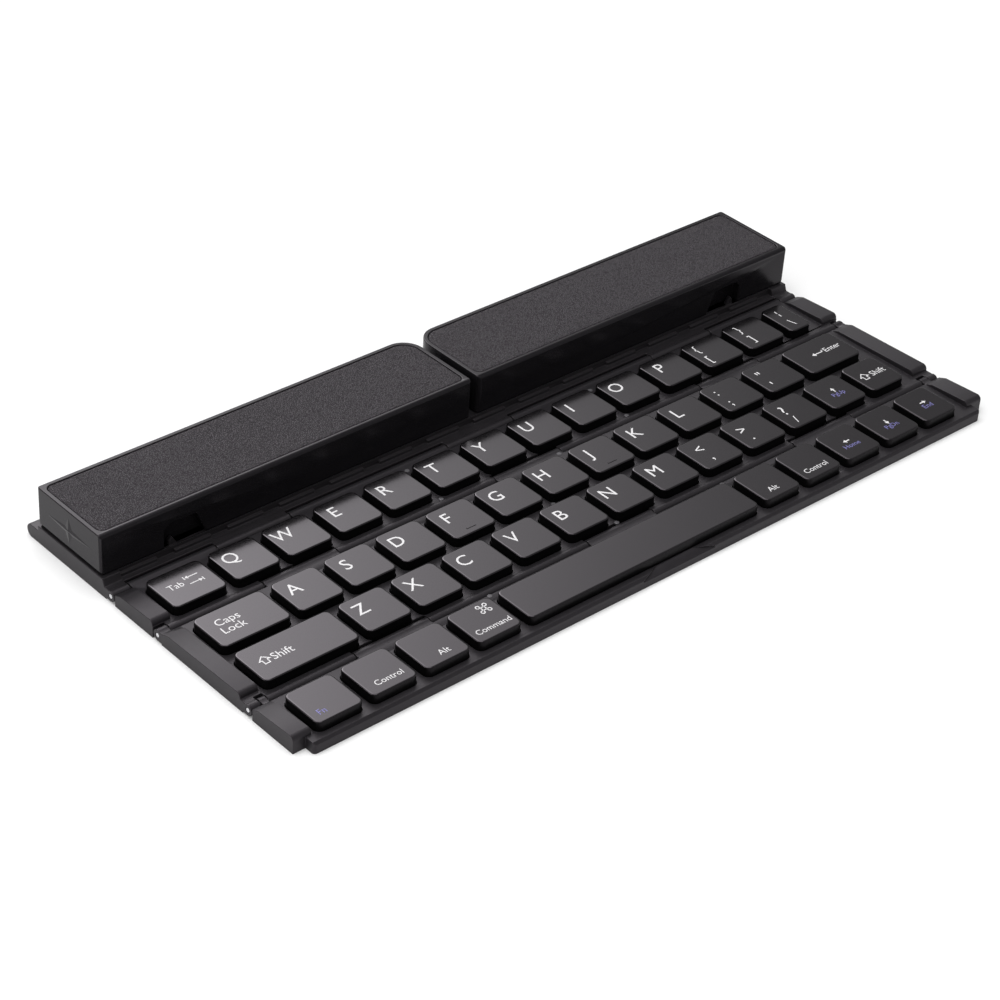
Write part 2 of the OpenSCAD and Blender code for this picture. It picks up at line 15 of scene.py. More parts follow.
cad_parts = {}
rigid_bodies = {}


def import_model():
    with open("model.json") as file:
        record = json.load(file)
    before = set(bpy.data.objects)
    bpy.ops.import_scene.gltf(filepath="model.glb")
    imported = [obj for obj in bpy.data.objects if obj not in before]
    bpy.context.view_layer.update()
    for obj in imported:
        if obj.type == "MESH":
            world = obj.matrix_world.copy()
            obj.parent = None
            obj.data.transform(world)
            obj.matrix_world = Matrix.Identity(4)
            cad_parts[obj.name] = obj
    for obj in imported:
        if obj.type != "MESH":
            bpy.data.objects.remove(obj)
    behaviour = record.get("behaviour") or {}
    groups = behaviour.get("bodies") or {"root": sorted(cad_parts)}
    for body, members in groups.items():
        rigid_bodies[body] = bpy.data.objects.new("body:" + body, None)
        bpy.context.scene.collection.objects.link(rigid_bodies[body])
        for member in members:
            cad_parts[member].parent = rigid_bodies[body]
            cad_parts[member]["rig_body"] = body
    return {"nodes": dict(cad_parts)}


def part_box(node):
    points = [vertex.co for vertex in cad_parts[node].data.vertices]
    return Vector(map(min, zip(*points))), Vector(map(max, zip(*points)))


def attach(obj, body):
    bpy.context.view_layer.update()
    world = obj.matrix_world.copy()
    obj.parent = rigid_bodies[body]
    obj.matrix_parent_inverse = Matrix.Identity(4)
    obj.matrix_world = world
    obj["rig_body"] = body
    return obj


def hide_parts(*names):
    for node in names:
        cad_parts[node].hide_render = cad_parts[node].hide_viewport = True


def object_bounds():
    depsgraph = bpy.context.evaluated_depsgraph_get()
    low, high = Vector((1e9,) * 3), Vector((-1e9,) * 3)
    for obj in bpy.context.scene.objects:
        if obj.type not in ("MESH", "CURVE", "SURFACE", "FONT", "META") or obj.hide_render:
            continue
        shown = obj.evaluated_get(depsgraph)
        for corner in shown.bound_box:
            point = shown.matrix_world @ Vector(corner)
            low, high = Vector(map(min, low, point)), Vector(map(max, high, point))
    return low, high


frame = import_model()
cad_low, cad_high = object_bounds()

MM = 0.001
BODY_OF = {n: o["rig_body"] for n, o in frame["nodes"].items()}


# ---------------------------------------------------------------- camera

# Where the camera stands in mm, how it is turned in degrees, and its lens in mm
CAMERA_AT = (-431.99, -438.53, 416.26)
CAMERA_AZIMUTH = 43.825
CAMERA_ELEVATION = 34.711
CAMERA_ROLL = 4.013
CAMERA_LENS = 97.68
SENSOR = 36.0


def place_camera():
    """The photograph's viewpoint."""
    a, e, r = (math.radians(v) for v in (CAMERA_AZIMUTH, CAMERA_ELEVATION, CAMERA_ROLL))
    back = Vector((-math.sin(a) * math.cos(e), -math.cos(a) * math.cos(e), math.sin(e)))
    right = Vector((math.cos(a), -math.sin(a), 0))
    up = back.cross(right)
    across = math.cos(r) * right + math.sin(r) * up
    above = -math.sin(r) * right + math.cos(r) * up
    data = bpy.data.cameras.new("camera")
    data.lens = CAMERA_LENS
    data.sensor_width = SENSOR
    data.clip_start = 0.01
    camera = bpy.data.objects.new("camera", data)
    bpy.context.scene.collection.objects.link(camera)
    turn = Matrix((across, above, back)).transposed().to_4x4()
    camera.matrix_world = Matrix.Translation(Vector(CAMERA_AT) * MM) @ turn
    bpy.context.scene.camera = camera


# ---------------------------------------------------------------- shader nodes


def shader_group(name, inputs, outputs):
    """An empty shader group with its named sockets."""
    tree = bpy.data.node_groups.new(name, "ShaderNodeTree")
    for label, kind, value in inputs:
        socket = tree.interface.new_socket(label, in_out="INPUT", socket_type=kind)
        if value is not None:
            socket.default_value = value
    for label, kind in outputs:
        tree.interface.new_socket(label, in_out="OUTPUT", socket_type=kind)
    return tree, tree.nodes.new("NodeGroupInput"), tree.nodes.new("NodeGroupOutput")


def add(tree, kind, links=None, **values):
    """A node with its properties set and its inputs linked or given a value."""
    node = tree.nodes.new(kind)
    for key, value in values.items():
        setattr(node, key, value)
    for key, value in (links or {}).items():
        socket = node.inputs[key]
        if isinstance(value, bpy.types.NodeSocket):
            tree.links.new(value, socket)
        else:
            socket.default_value = value
    return node


def number(tree, operation, *values):
    """What a Math node makes of these numbers."""
    links = dict(enumerate(values))
    return add(tree, "ShaderNodeMath", links, operation=operation).outputs[0]


def vector(tree, operation, *values):
    """What a Vector Math node makes of these vectors."""
    links = dict(enumerate(values))
    return add(tree, "ShaderNodeVectorMath", links, operation=operation).outputs[0]


def scaled(tree, what, factor):
    """A vector or a colour times a number."""
    links = {0: what, "Scale": factor}
    return add(tree, "ShaderNodeVectorMath", links, operation="SCALE").outputs[0]


def ranged(tree, value, low, high, start=0.0, stop=1.0, **kind):
    """A value between start and stop moved to between low and high, and held there."""
    links = {"Value": value, "From Min": start, "From Max": stop, "To Min": low, "To Max": high}
    return add(tree, "ShaderNodeMapRange", links, **kind).outputs["Result"]


def noise(tree, place, scale, detail, **more):
    """The outputs of a noise with that many bumps to the metre."""
    links = {"Vector": place, "Scale": scale, "Detail": detail, **more}
    return add(tree, "ShaderNodeTexNoise", links).outputs


def blended(tree, factor, first, second):
    """One colour turning into another."""
    links = {"Factor": factor, "A": (*first, 1), "B": (*second, 1)}
    return add(tree, "ShaderNodeMix", links, data_type="RGBA").outputs["Result"]


# ---------------------------------------------------------------- effects that finishes share

# Handling marks: how many to the metre, broad and fine, and their share in the colour
BROAD_MARKS = 45.0
FINE_MARKS = 420.0
MARKS_IN_COLOUR = 0.25


def moulded_grain_group():
    """Fine pitted surface of moulded plastic, as a height from 0 to 1."""
    tree, start, end = shader_group(
        "moulded_grain",
        [("Vector", "NodeSocketVector", None), ("Grain size", "NodeSocketFloat", 0.0003)],
        [("Height", "NodeSocketFloat")],
    )
    place = start.outputs["Vector"]
    scale = number(tree, "DIVIDE", 1.0, start.outputs["Grain size"])
    links = {"Vector": place, "Scale": scale}
    pits = add(tree, "ShaderNodeTexVoronoi", links, feature="SMOOTH_F1").outputs["Distance"]
    height = number(tree, "MULTIPLY", pits, noise(tree, place, scale, 2.0)["Fac"])
    tree.links.new(height, end.inputs["Height"])
    return tree


def handling_group():
    """Where hands have polished a surface, and its colour with that slight unevenness."""
    tree, start, end = shader_group(
        "handling",
        [
            ("Vector", "NodeSocketVector", None),
            ("Colour", "NodeSocketColor", (0.05, 0.05, 0.05, 1)),
            ("Roughness", "NodeSocketFloat", 0.4),
            ("Spread", "NodeSocketFloat", 0.08),
        ],
        [("Colour", "NodeSocketColor"), ("Roughness", "NodeSocketFloat")],
    )
    given = start.outputs
    broad = noise(tree, given["Vector"], BROAD_MARKS, 4.0, Roughness=0.6)["Fac"]
    fine = noise(tree, given["Vector"], FINE_MARKS, 3.0)["Fac"]
    centred = number(tree, "SUBTRACT", number(tree, "ADD", broad, fine), 1.0)
    rough = number(tree, "MULTIPLY_ADD", centred, given["Spread"], given["Roughness"])
    shade = number(tree, "MULTIPLY_ADD", centred, MARKS_IN_COLOUR, 1.0)
    tree.links.new(scaled(tree, given["Colour"], shade), end.inputs["Colour"])
    tree.links.new(rough, end.inputs["Roughness"])
    return tree


GROUPS = {"moulded_grain": moulded_grain_group(), "handling": handling_group()}


# ---------------------------------------------------------------- finishes

# The very slightly violet sheen of the black plastics and the leatherette
SHEEN_TINT = (1.0, 0.9, 1.0, 1.0)

# The leatherette's colour on its cells and the painted shade in its creases, its cells, bends
# and specks per metre, and in metres how far its cells are bent and how high they stand
LEATHER_CELL = (0.034, 0.031, 0.0345)
LEATHER_CREASE_SHADE = (0.003, 0.0027, 0.0031)
LEATHER_CELLS = 1900.0
LEATHER_BENDS = 1400.0
LEATHER_SPECKS = 3200.0
LEATHER_BEND = 0.0004
LEATHER_HEIGHT = 0.0001
CREASE_WIDTH = 0.28
LEATHER_SPECULAR = 0.36


def new_material(name):
    """A material with its shader and its Object coordinates."""
    material = bpy.data.materials.new(name)
    material.use_nodes = True
    tree = material.node_tree
    shader = tree.nodes["Principled BSDF"]
    place = tree.nodes.new("ShaderNodeTexCoord").outputs["Object"]
    return material, tree, shader, place


def bump(tree, shader, height, distance):
    """Feeds a height, in metres when multiplied by distance, to the shader's normal."""
    links = {"Height": height, "Distance": distance, "Strength": 1.0}
    node = add(tree, "ShaderNodeBump", links)
    tree.links.new(node.outputs["Normal"], shader.inputs["Normal"])


def moulded_plastic(name, colour, roughness, spread, grain_size, grain_depth, specular=0.5):
    """Moulded plastic with its grain and handling marks."""
    material, tree, shader, place = new_material(name)
    marks = add(
        tree,
        "ShaderNodeGroup",
        {"Vector": place, "Colour": (*colour, 1), "Roughness": roughness, "Spread": spread},
        node_tree=GROUPS["handling"],
    ).outputs
    grain = add(
        tree,
        "ShaderNodeGroup",
        {"Vector": place, "Grain size": grain_size},
        node_tree=GROUPS["moulded_grain"],
    ).outputs
    tree.links.new(marks["Colour"], shader.inputs["Base Color"])
    tree.links.new(marks["Roughness"], shader.inputs["Roughness"])
    shader.inputs["Specular IOR Level"].default_value = specular
    shader.inputs["Specular Tint"].default_value = SHEEN_TINT
    bump(tree, shader, grain["Height"], grain_depth)
    return material


def leatherette(name):
    """Pebbled charcoal leatherette: close cells, with a painted shade darkening the creases between
    them.
    """
    material, tree, shader, place = new_material(name)
    shift = scaled(tree, noise(tree, place, LEATHER_BENDS, 2.0)["Color"], LEATHER_BEND)
    cells = add(
        tree,
        "ShaderNodeTexVoronoi",
        {"Vector": vector(tree, "ADD", place, shift), "Scale": LEATHER_CELLS, "Randomness": 0.9},
        feature="DISTANCE_TO_EDGE",
    ).outputs["Distance"]
    crease = ranged(tree, cells, 0.0, 1.0, stop=CREASE_WIDTH, interpolation_type="SMOOTHSTEP")
    specks = noise(tree, place, LEATHER_SPECKS, 3.0)["Fac"]
    # The creases get a painted shade: a far darker colour where shade falls between the cells
    colour = blended(tree, crease, LEATHER_CREASE_SHADE, LEATHER_CELL)
    uneven = ranged(tree, specks, 0.72, 1.3, 0.3, 0.7)
    tree.links.new(scaled(tree, colour, uneven), shader.inputs["Base Color"])
    tree.links.new(ranged(tree, crease, 0.75, 0.5), shader.inputs["Roughness"])
    shader.inputs["Specular IOR Level"].default_value = LEATHER_SPECULAR
    shader.inputs["Specular Tint"].default_value = SHEEN_TINT
    bump(tree, shader, number(tree, "MULTIPLY_ADD", specks, 0.35, crease), LEATHER_HEIGHT)
    return material


def steel(name):
    """Bright drawn steel with fine lines along the pins."""
    material, tree, shader, place = new_material(name)
    stretch = add(tree, "ShaderNodeMapping", {"Vector": place, "Scale": (60.0, 4000.0, 4000.0)})
    lines = noise(tree, stretch.outputs[0], 1.0, 2.0)["Fac"]
    colour = blended(tree, lines, (0.62, 0.62, 0.64), (0.82, 0.82, 0.84))
    tree.links.new(colour, shader.inputs["Base Color"])
    tree.links.new(ranged(tree, lines, 0.16, 0.34), shader.inputs["Roughness"])
    shader.inputs["Metallic"].default_value = 1.0
    bump(tree, shader, lines, 0.000004)
    return material


def ribbed_rubber(name):
    """Matt black rubber with small ribs across it."""
    material, tree, shader, place = new_material(name)
    links = {"Vector": place, "Scale": 320.0, "Distortion": 0.0}
    ribs = add(tree, "ShaderNodeTexWave", links, bands_direction="X").outputs["Fac"]
    dust = noise(tree, place, 500.0, 4.0)["Fac"]
    colour = blended(tree, dust, (0.016, 0.016, 0.016), (0.04, 0.04, 0.04))
    tree.links.new(colour, shader.inputs["Base Color"])
    shader.inputs["Roughness"].default_value = 0.85
    bump(tree, shader, ribs, 0.0001)
    return material


def circuit_board(name):
    """Green solder mask with tracks under it."""
    material, tree, shader, place = new_material(name)
    tracks = add(
        tree,
        "ShaderNodeTexBrick",
        {
            "Vector": place,
            "Color1": (0.01, 0.09, 0.035, 1),
            "Color2": (0.015, 0.12, 0.045, 1),
            "Mortar": (0.05, 0.2, 0.09, 1),
            "Scale": 400.0,
            "Mortar Size": 0.03,
        },
    ).outputs
    tree.links.new(tracks["Color"], shader.inputs["Base Color"])
    shader.inputs["Roughness"].default_value = 0.35
    bump(tree, shader, tracks["Fac"], 0.00003)
    return material


def printed_paint(name, colour):
    """Opaque printed lettering, slightly uneven like a pad print."""
    material, tree, shader, place = new_material(name)
    film = noise(tree, place, 1500.0, 2.0)["Fac"]
    tint = scaled(tree, colour, ranged(tree, film, 0.94, 1.0))
    tree.links.new(tint, shader.inputs["Base Color"])
    shader.inputs["Roughness"].default_value = 0.45
    bump(tree, shader, film, 0.000005)
    return material


# Each moulded plastic: its name and colour, its roughness and how much that varies,
# its grain's size and depth in metres and, where it isn't plain, its specular level
MOULDED = {
    "tray": ("tray_satin_plastic", (0.0145, 0.0135, 0.0148), 0.38, 0.1, 0.00035, 0.00001, 0.32),
    "arm": ("arm_gloss_plastic", (0.008, 0.0075, 0.0085), 0.22, 0.08, 0.0005, 0.000003, 0.22),
    "strip": ("strip_satin_plastic", (0.0145, 0.0135, 0.015), 0.4, 0.1, 0.0003, 0.00001, 0.3),
    "key_top": ("key_top_satin", (0.0035, 0.0032, 0.0036), 0.14, 0.05, 0.00025, 0.000002),
    "key_side": ("key_side_gloss", (0.002, 0.002, 0.0021), 0.3, 0.05, 0.0006, 0.000003, 0.12),
    "plate": ("bottom_plate_matt", (0.02, 0.02, 0.021), 0.5, 0.1, 0.0004, 0.00001),
    "sheet": ("contact_sheet", (0.06, 0.06, 0.062), 0.5, 0.1, 0.0005, 0.00001),
    "stud": ("stud_grey_rubber", (0.075, 0.074, 0.078), 0.55, 0.1, 0.0003, 0.000005),
    "chip": ("chip_black", (0.02, 0.02, 0.021), 0.5, 0.1, 0.0002, 0.000005),
    "battery": ("battery_wrap", (0.42, 0.43, 0.45), 0.3, 0.1, 0.0008, 0.00001),
}
FINISH = {finish: moulded_plastic(*row) for finish, row in MOULDED.items()}
FINISH["board"] = circuit_board("circuit_board")
FINISH["leather"] = leatherette("arm_leatherette")
FINISH["steel"] = steel("drawn_steel")
FINISH["rubber"] = ribbed_rubber("grip_rubber")
FINISH["white"] = printed_paint("legend_white", (0.7, 0.69, 0.7))
FINISH["violet"] = printed_paint("legend_violet", (0.15, 0.14, 0.36))


# ---------------------------------------------------------------- mesh helpers

# A node's corners closer than this, in metres, are one, and faces within this many
# degrees of each other are one flat face
SAME_CORNER = 0.000002
SAME_FACE = 0.4
# Edges turn sharp in the shading past the first angle, and are rounded past the second
SHARP_ANGLE = 30.0
ROUNDED_ANGLE = 35.0


def piece(name, bm, finishes, node, sharp=SHARP_ANGLE):
    """A finished mesh as an object that replaces node and rides on its body."""
    mesh = bpy.data.meshes.new(name)
    bm.to_mesh(mesh)
    bm.free()
    for finish in finishes:
        mesh.materials.append(FINISH[finish])
    mesh.shade_smooth()
    mesh.set_sharp_from_angle(angle=math.radians(sharp))
    obj = bpy.data.objects.new(name, mesh)
    bpy.context.scene.collection.objects.link(obj)
    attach(obj, BODY_OF[node])
    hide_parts(node)
    return obj


def solids_of(bm):
    """The faces of each separate solid, with its lowest and highest corner."""
    left = set(bm.faces)
    while left:
        seed = left.pop()
        found, queue = [seed], [seed]
        while queue:
            for edge in queue.pop().edges:
                for face in edge.link_faces:
                    if face in left:
                        left.remove(face)
                        found.append(face)
                        queue.append(face)
        points = [v.co for f in found for v in f.verts]
        low = Vector(min(p[i] for p in points) for i in range(3))
        high = Vector(max(p[i] for p in points) for i in range(3))
        yield found, low, high


def cad_copy(node):
    """A merged copy of a node's mesh, with its flat faces made whole."""
    bm = bmesh.new()
    bm.from_mesh(frame["nodes"][node].data)
    bmesh.ops.remove_doubles(bm, verts=bm.verts, dist=SAME_CORNER)
    bmesh.ops.dissolve_limit(
        bm,
        angle_limit=math.radians(SAME_FACE),
        verts=bm.verts,
        edges=bm.edges,
        use_dissolve_boundaries=False,
    )
    return bm


def soften(obj, width):
    """Rounds the piece's sharp edges, as a mould does."""
    bevel = obj.modifiers.new("moulded_edges", "BEVEL")
    bevel.width = width
    bevel.segments = 2
    bevel.limit_method = "ANGLE"
    bevel.angle_limit = math.radians(ROUNDED_ANGLE)
    bevel.use_clamp_overlap = False
    bevel.miter_outer = "MITER_ARC"
    bevel.harden_normals = True


def shell(name, node, choose, finishes, edge):
    """A node's copy with softened edges, each solid in the finish that choose names."""
    bm = cad_copy(node)
    for faces, low, high in solids_of(bm):
        index = finishes.index(choose(low / MM, high / MM))
        for face in faces:
            face.material_index = index
    obj = piece(name, bm, finishes, node)
    soften(obj, edge * MM)
    return obj


def stacked_rings(rings):
    """A closed form from rings of equal length, each a height and its points, in mm."""
    bm = bmesh.new()
    made = [[bm.verts.new(Vector((x, y, z)) * MM) for x, y in points] for z, points in rings]
    for lower, upper in zip(made, made[1:]):
        for i in range(len(lower)):
            j = (i + 1) % len(lower)
            bm.faces.new((lower[i], lower[j], upper[j], upper[i]))
    bm.faces.new(list(reversed(made[0])))
    bm.faces.new(made[-1])
    return bm


def merged(parts):
    """Several meshes as one."""
    bm = bmesh.new()
    for part in parts:
        mesh = bpy.data.meshes.new("part")
        part.to_mesh(mesh)
        part.free()
        bm.from_mesh(mesh)
        bpy.data.meshes.remove(mesh)
    return bm


# ---------------------------------------------------------------- tray, arms and strips

# How wide the edges are rounded, in mm. The third strip's front lip is too thin for more
TRAY_EDGE = 0.2
FITTINGS_EDGE = 0.06
BOARD_EDGE = 0.05
ARM_EDGE = 0.3
STRIP_EDGE = {1: 0.16, 2: 0.16, 3: 0.1}
# The chips stand this high above the foot of the board and the battery
CHIP_FOOT = 0.85
# What tells the solids of a node apart, in mm: the grips, plates and sheets end below these
# heights, a hinge pin is longer and thinner than this, and the metal port is the short one
GRIP_TOP = 1
PLATE_TOP = 0.8
SHEET_TOP = 1
PIN_LENGTH = 240
PIN_HEIGHT = 1.5
PORT_LENGTH = 10


def make_tray():
    """The tray with its pins and grips, and the board and battery inside it."""
    shell("tray_shell", "base_tray", lambda low, high: "tray", ["tray"], TRAY_EDGE)

    def fitting(low, high):
        return "rubber" if high.z < GRIP_TOP else "steel"

    finishes = ["steel", "rubber"]
    shell("tray_pins_and_grips", "tray_fittings", fitting, finishes, FITTINGS_EDGE)

    def electronics(low, high):
        if high.x < 0:
            return "battery"
        return "steel" if high.x - low.x < PORT_LENGTH else "board"

    node, finishes = "tray_electronics", ["battery", "board", "steel", "chip"]
    name = "tray_board_and_battery"
    obj = shell(name, node, electronics, finishes, BOARD_EDGE)
    chip_foot = min(v.co.z for v in obj.data.vertices) + CHIP_FOOT * MM
    for face in obj.data.polygons:
        if face.material_index == finishes.index("board") and face.center.z > chip_foot:
            face.material_index = finishes.index("chip")


# The relief on an arm's outer end: its points, its inner corners and how far it stands out,
# in mm from the middle of the end face
STAR_POINTS = (10.2, 4.1)
STAR_CORNER = (1.5, 0.9)
STAR_RISE = 0.24
# How far its tip stays back from the end of the arm's box
STAR_BACK = 0.01
# The relief and the flat that it stands on lie this close to the arm's outer end
END_RELIEF = 0.27


def make_star(name, node, side):
    """The shallow four-pointed relief on an arm's outer end, with flat facets."""
    low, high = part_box(node)
    face_x = (high.x if side > 0 else low.x) / MM - side * (STAR_RISE + STAR_BACK)
    middle = (low + high) / 2 / MM
    (reach, rise), (near_y, near_z) = STAR_POINTS, STAR_CORNER
    rim = [
        (reach, 0),
        (near_y, near_z),
        (0, rise),
        (-near_y, near_z),
        (-reach, 0),
        (-near_y, -near_z),
        (0, -rise),
        (near_y, -near_z),
    ]
    bm = bmesh.new()
    ring = [bm.verts.new(Vector((face_x, middle.y + y, middle.z + z)) * MM) for y, z in rim]
    top = bm.verts.new(Vector((face_x + side * STAR_RISE, middle.y, middle.z)) * MM)
    foot = bm.verts.new(Vector((face_x - side * STAR_RISE, middle.y, middle.z)) * MM)
    for a, b in zip(ring, ring[1:] + ring[:1]):
        bm.faces.new((a, b, top))
        bm.faces.new((b, a, foot))
    bmesh.ops.recalc_face_normals(bm, faces=bm.faces)
    piece(name, bm, ["arm"], node, sharp=1.0)


def make_arms():
    """Both arms, each a glossy case with its end relief and its pad."""
    for side in ("left", "right"):
        name, case, pad = f"{side}_arm_shell", f"{side}_arm_case", f"{side}_arm_pad"
        obj = shell(name, case, lambda low, high: "arm", ["arm"], ARM_EDGE)
        low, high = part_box(case)
        end = max(-low.x, high.x) - END_RELIEF * MM
        for face in obj.data.polygons:
            if all(abs(obj.data.vertices[i].co.x) > end for i in face.vertices):
                face.use_smooth = False
        make_star(f"{side}_arm_star", case, -1 if side == "left" else 1)
        make_pad(f"{side}_arm_leather", pad, side == "left")


def rounded_outline(low, high, radii, inset, steps=8, least=0.05):
    """Points round a rectangle with its own radius at each corner, front left first."""
    corners = (
        (low[0], low[1], 1, 1, 180),
        (high[0], low[1], -1, 1, 270),
        (high[0], high[1], -1, -1, 0),
        (low[0], high[1], 1, -1, 90),
    )
    points = []
    for (x, y, sx, sy, turn), radius in zip(corners, radii):
        r = max(radius - inset, least)
        cx, cy = x + sx * (inset + r), y + sy * (inset + r)
        for i in range(steps + 1):
            a = math.radians(turn + 90 * i / steps)
            points.append((cx + r * math.cos(a), cy + r * math.sin(a)))
    return points


# A pad's corner radii: at the arm's hinge end behind and in front, and at its outer end
PAD_HINGE_REAR = 5.05
PAD_HINGE_FRONT = 1.95
PAD_OUTER = 1.95
# The radius of its rolled edge, the steps round that, and how much the crown rises over it:
# the distances in from the rim, and how far below the top the skin is there
PAD_ROLL = 0.42
PAD_STEPS = 5
PAD_CROWN = 0.06
PAD_RISE = ((1.4, 0.04), (3.0, 0.015), (5.5, 0.0))


def make_pad(name, node, mirrored):
    """A thin crowned pad with its skin rolled over the edge."""
    low, high = (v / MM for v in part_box(node))
    if mirrored:
        radii = (PAD_OUTER, PAD_HINGE_FRONT, PAD_HINGE_REAR, PAD_OUTER)
    else:
        radii = (PAD_HINGE_FRONT, PAD_OUTER, PAD_OUTER, PAD_HINGE_REAR)
    shoulder = high.z - PAD_ROLL - PAD_CROWN
    profile = [(0.0, low.z), (0.0, shoulder)]
    for i in range(1, PAD_STEPS + 1):
        a = math.radians(90 * i / PAD_STEPS)
        profile.append((PAD_ROLL * (1 - math.cos(a)), shoulder + PAD_ROLL * math.sin(a)))
    profile += [(inset, high.z - below) for inset, below in PAD_RISE]
    rings = [(z, rounded_outline(low, high, radii, inset)) for inset, z in profile]
    obj = piece(name, stacked_rings(rings), ["leather"], node)


# The small grey studs in the decks: the strip that carries each, and its place in mm
STUDS = (
    (1, -30.3, 17.0),
    (1, 37.7, 17.0),
    (1, -31.6, 1.2),
    (1, 37.0, 1.2),
    (2, -9.0, -18.6),
    (2, 8.6, -1.6),
    (2, -1.3, -35.0),
    (3, -49.8, -39.0),
    (3, 34.2, -39.3),
)
DECK_Z = 3.4
STUD_FOOT = DECK_Z - 0.3
STUD_TOP = 3.5
STUD_R = 0.7
# The rounding of a stud's rim, down and in, and its number of sides
STUD_RIM = (0.06, 0.1)
STUD_SIDES = 12


def make_studs(n):
    """The nearly flush round studs in one strip's deck."""
    down, inwards = STUD_RIM
    profile = ((STUD_FOOT, STUD_R), (STUD_TOP - down, STUD_R), (STUD_TOP, STUD_R - inwards))
    turns = [math.radians(360 / STUD_SIDES * i) for i in range(STUD_SIDES)]

    def stud(x, y):
        for z, r in profile:
            yield z, [(x + r * math.cos(a), y + r * math.sin(a)) for a in turns]

    studs = merged([stacked_rings(stud(x, y)) for strip, x, y in STUDS if strip == n])
    piece(f"strip_{n}_studs", studs, ["stud"], f"strip_{n}")


def make_strips():
    """The three key strips, with the pins, plates and sheets in them, and their studs."""

    def strip_solid(low, high):
        if high.x - low.x > PIN_LENGTH and high.z - low.z < PIN_HEIGHT:
            return "steel"
        if high.z < PLATE_TOP:
            return "plate"
        return "sheet" if high.z < SHEET_TOP else "strip"

    finishes = ["strip", "steel", "plate", "sheet"]
    for n, edge in STRIP_EDGE.items():
        shell(f"strip_{n}_deck", f"strip_{n}", strip_solid, finishes, edge)
        make_studs(n)


# ---------------------------------------------------------------- key caps

KEY_INPUTS = ("Width", "Depth", "Height", "Corner radius", "Edge radius")
KEY_CORNER = 1.8
KEY_ROLL = 0.34
# The steps round a key's corners and over its rolled edge, the rim of its flat top
# in edge radii, and how far up a face looks that counts as the top
CORNER_STEPS = 6
ROLL_STEPS = 4
TOP_RIM = 0.6
TOP_LOOKS_UP = 0.55


def key_cap_tree():
    """Geometry nodes for one key cap: a rounded slab whose top edge is rolled over."""
    tree = bpy.data.node_groups.new("key_cap", "GeometryNodeTree")
    for label in KEY_INPUTS:
        tree.interface.new_socket(label, in_out="INPUT", socket_type="NodeSocketFloat")
    tree.interface.new_socket("Geometry", in_out="OUTPUT", socket_type="NodeSocketGeometry")
    start = tree.nodes.new("NodeGroupInput").outputs
    end = tree.nodes.new("NodeGroupOutput")

    def times(a, b):
        return number(tree, "MULTIPLY", a, b)

    def less(a, b):
        return number(tree, "SUBTRACT", a, b)

    size = {"Width": start["Width"], "Height": start["Depth"]}
    outline = add(tree, "GeometryNodeCurvePrimitiveQuadrilateral", size).outputs[0]
    fillet = {"Curve": outline, "Count": CORNER_STEPS, "Radius": start["Corner radius"]}
    rounded = add(tree, "GeometryNodeFilletCurve", fillet, mode="POLY").outputs[0]
    slab = add(tree, "GeometryNodeFillCurve", {"Curve": rounded}, mode="NGONS").outputs[0]
    bottom = add(tree, "GeometryNodeFlipFaces", {"Mesh": slab}).outputs[0]

    # From the centre of the nearest corner arc, or straight out of the nearest edge
    half_x = less(times(start["Width"], 0.5), start["Corner radius"])
    half_y = less(times(start["Depth"], 0.5), start["Corner radius"])
    limit = add(tree, "ShaderNodeCombineXYZ", {0: half_x, 1: half_y, 2: 1.0}).outputs[0]
    place = tree.nodes.new("GeometryNodeInputPosition").outputs[0]
    below = vector(tree, "MINIMUM", place, limit)
    inside = vector(tree, "MAXIMUM", below, scaled(tree, limit, -1.0))
    outwards = vector(tree, "NORMALIZE", vector(tree, "SUBTRACT", place, inside))

    def raise_top(mesh, top, lift, inset):
        """Extrudes the top face by lift and draws its rim in by inset."""
        links = {"Mesh": mesh, "Offset": (0.0, 0.0, 1.0), "Offset Scale": lift, "Individual": False}
        if top is not None:
            links["Selection"] = top
        grown = add(tree, "GeometryNodeExtrudeMesh", links, mode="FACES").outputs
        step = scaled(tree, outwards, times(inset, -1.0))
        links = {"Geometry": grown["Mesh"], "Selection": grown["Top"], "Offset": step}
        return add(tree, "GeometryNodeSetPosition", links).outputs[0], grown["Top"]

    radius = start["Edge radius"]
    mesh, top = raise_top(slab, None, less(start["Height"], radius), times(radius, 0.0))
    turns = [math.radians(90 * i / ROLL_STEPS) for i in range(ROLL_STEPS + 1)]
    for a, b in zip(turns, turns[1:]):
        lift = times(radius, math.sin(b) - math.sin(a))
        inset = times(radius, math.cos(a) - math.cos(b))
        mesh, top = raise_top(mesh, top, lift, inset)
    mesh, top = raise_top(mesh, top, times(radius, 0.0), times(radius, TOP_RIM))
    closed = add(tree, "GeometryNodeJoinGeometry")
    tree.links.new(mesh, closed.inputs[0])
    tree.links.new(bottom, closed.inputs[0])
    weld = {"Geometry": closed.outputs[0], "Distance": 0.000001}
    whole = add(tree, "GeometryNodeMergeByDistance", weld).outputs[0]
    real = add(tree, "GeometryNodeRealizeInstances", {"Geometry": whole}).outputs[0]
    links = {"Geometry": real, "Material": FINISH["key_side"]}
    gloss = add(tree, "GeometryNodeSetMaterial", links).outputs[0]
    normal = tree.nodes.new("GeometryNodeInputNormal").outputs[0]
    upward = add(tree, "ShaderNodeSeparateXYZ", {0: normal}).outputs[2]
    limits = {0: upward, 1: TOP_LOOKS_UP}
    level = add(tree, "FunctionNodeCompare", limits, operation="GREATER_THAN").outputs[0]
    links = {"Geometry": gloss, "Selection": level, "Material": FINISH["key_top"]}
    satin = add(tree, "GeometryNodeSetMaterial", links).outputs[0]
    tree.links.new(satin, end.inputs[0])
    return tree


